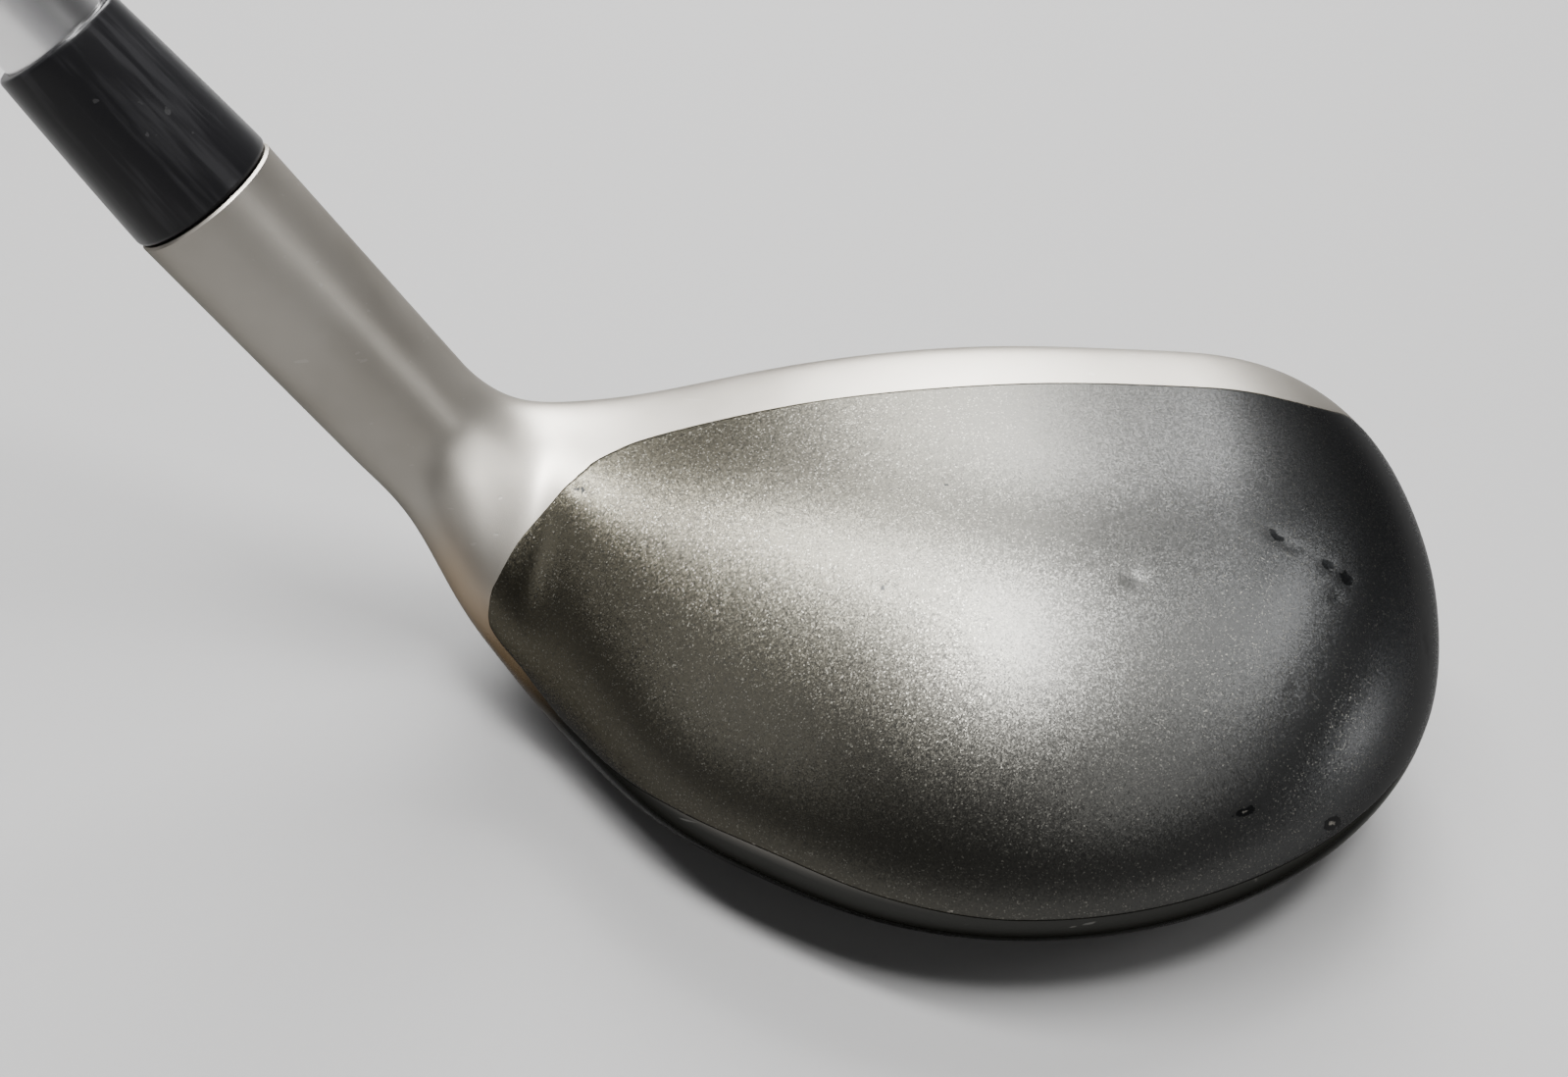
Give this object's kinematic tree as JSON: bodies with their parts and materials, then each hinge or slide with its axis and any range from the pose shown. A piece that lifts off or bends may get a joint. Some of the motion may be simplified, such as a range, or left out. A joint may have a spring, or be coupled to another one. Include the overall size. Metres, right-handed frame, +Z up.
{
  "type": "golf hybrid club",
  "caption": "Hybrid golf club: hollow steel head with a painted crown, black ferrule, stepped steel shaft and rubber grip.",
  "frame": {"origin": "middle of the flat rest patch of the sole, on the ground plane", "axes": "+Z up from the ground, +X from heel to toe, +Y towards the target; the shaft leans towards -X at the lie angle of 60 degrees"},
  "size_m": [0.5995, 0.0619, 0.8869],
  "materials": {
    "cast_steel": "bead-blasted satin stainless steel, warm grey",
    "crown_paint": "charcoal metallic paint with fine flakes under a satin clear coat, chipped at the edges",
    "face_steel": "fine vertical grind",
    "screw_steel": "turned",
    "resin": "set hot melt",
    "nylon": "moulded",
    "brass": "turned",
    "epoxy": "set adhesive",
    "ferrule_plastic": "turned and polished black",
    "shaft_chrome": "bright plate",
    "band_film": "plain wrapped film",
    "tape_paper": "double-sided tape",
    "grip_rubber": "moulded, matt",
    "cap_rubber": "moulded"
  },
  "bodies": {
    "root": {"head_body": "cast_steel", "crown_plate": "crown_paint", "face_plate": "face_steel", "weight_screw": "screw_steel", "damping_resin": "resin", "tip_plug": "nylon", "tip_weight": "brass", "bonding_epoxy": "epoxy", "ferrule": "ferrule_plastic", "shaft": "shaft_chrome", "shaft_band": "band_film", "grip_tape": "tape_paper", "grip_sleeve": "grip_rubber", "grip_cap": "cap_rubber"}
  },
  "joints": []
}
